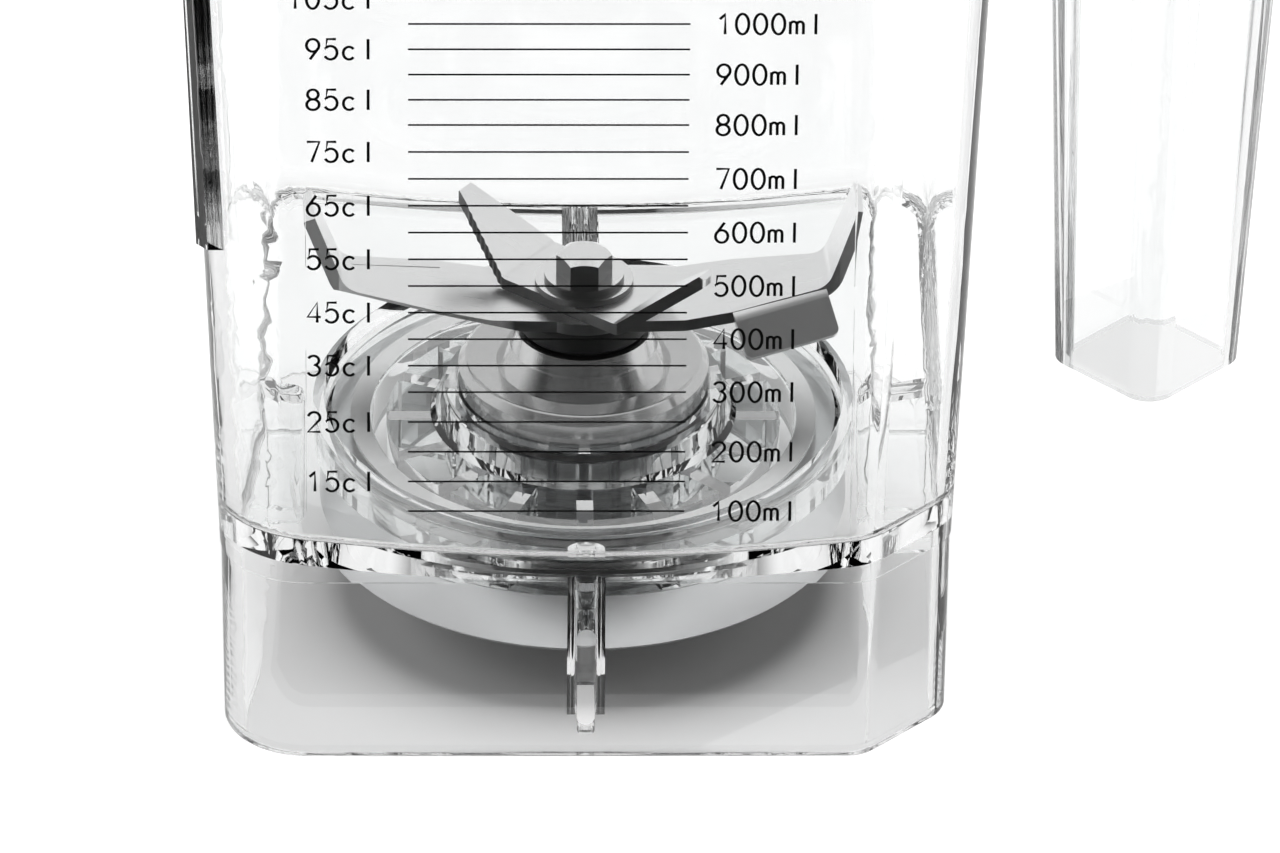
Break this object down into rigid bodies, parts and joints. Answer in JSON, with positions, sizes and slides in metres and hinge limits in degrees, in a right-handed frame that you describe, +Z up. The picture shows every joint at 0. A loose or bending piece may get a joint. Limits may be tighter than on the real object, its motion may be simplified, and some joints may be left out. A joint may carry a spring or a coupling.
{
  "type": "blender jar",
  "caption": "Clear square blender jar with skirted base, corner handle, ribbed blade base, ring nut and bent steel blades on a spindle with a splined drive end.",
  "frame": {"origin": "on the spindle axis in the plane the skirt stands on", "axes": "+Z up along the spindle, -Y towards the printed face, +X to the right of it"},
  "size_m": [0.1653, 0.1653, 0.238],
  "materials": {
    "clear_jar": "clear polished polycarbonate",
    "clear_base": "clear moulded polycarbonate",
    "gasket_rubber": "grey silicone",
    "nut_alloy": "satin turned alloy",
    "polished_steel": "polished stainless steel",
    "plain_steel": "turned steel",
    "seal_rubber": "black nitrile rubber",
    "black_plastic": "black moulded plastic",
    "blade_steel": "ground and bent stainless sheet"
  },
  "bodies": {
    "jar": {"jar": "clear_jar", "blade_base": "clear_base", "base_gasket": "gasket_rubber", "ring_nut": "nut_alloy", "bearing_housing": "polished_steel", "housing_gasket": "gasket_rubber", "housing_lock_nut": "plain_steel", "lip_seal": "seal_rubber", "upper_outer_ring": "plain_steel", "lower_outer_ring": "plain_steel", "outer_spacer": "plain_steel", "circlip": "plain_steel", "upper_shield": "plain_steel", "lower_shield": "plain_steel"},
    "spindle": {"drive_shaft": "plain_steel", "lower_inner_ring": "plain_steel", "upper_inner_ring": "plain_steel", "inner_spacer": "plain_steel", "seal_sleeve": "plain_steel", "blade_spacer": "black_plastic", "lower_blade": "blade_steel", "upper_blade": "blade_steel", "large_washer": "plain_steel", "small_washer": "plain_steel", "blade_bolt": "plain_steel"},
    "balls": {"upper_balls": "plain_steel", "lower_balls": "plain_steel"}
  },
  "joints": [
    {"name": "blade_spin", "type": "hinge", "parent": "jar", "child": "spindle", "pos_m": [0, 0, 0], "axis": [0, 0, 1], "continuous": true},
    {"name": "ball_spin", "type": "hinge", "parent": "jar", "child": "balls", "pos_m": [0, 0, 0], "axis": [0, 0, 1], "continuous": true}
  ],
  "couplings": [
    {"joint": "ball_spin", "follows": "blade_spin", "ratio": 0.3677}
  ]
}
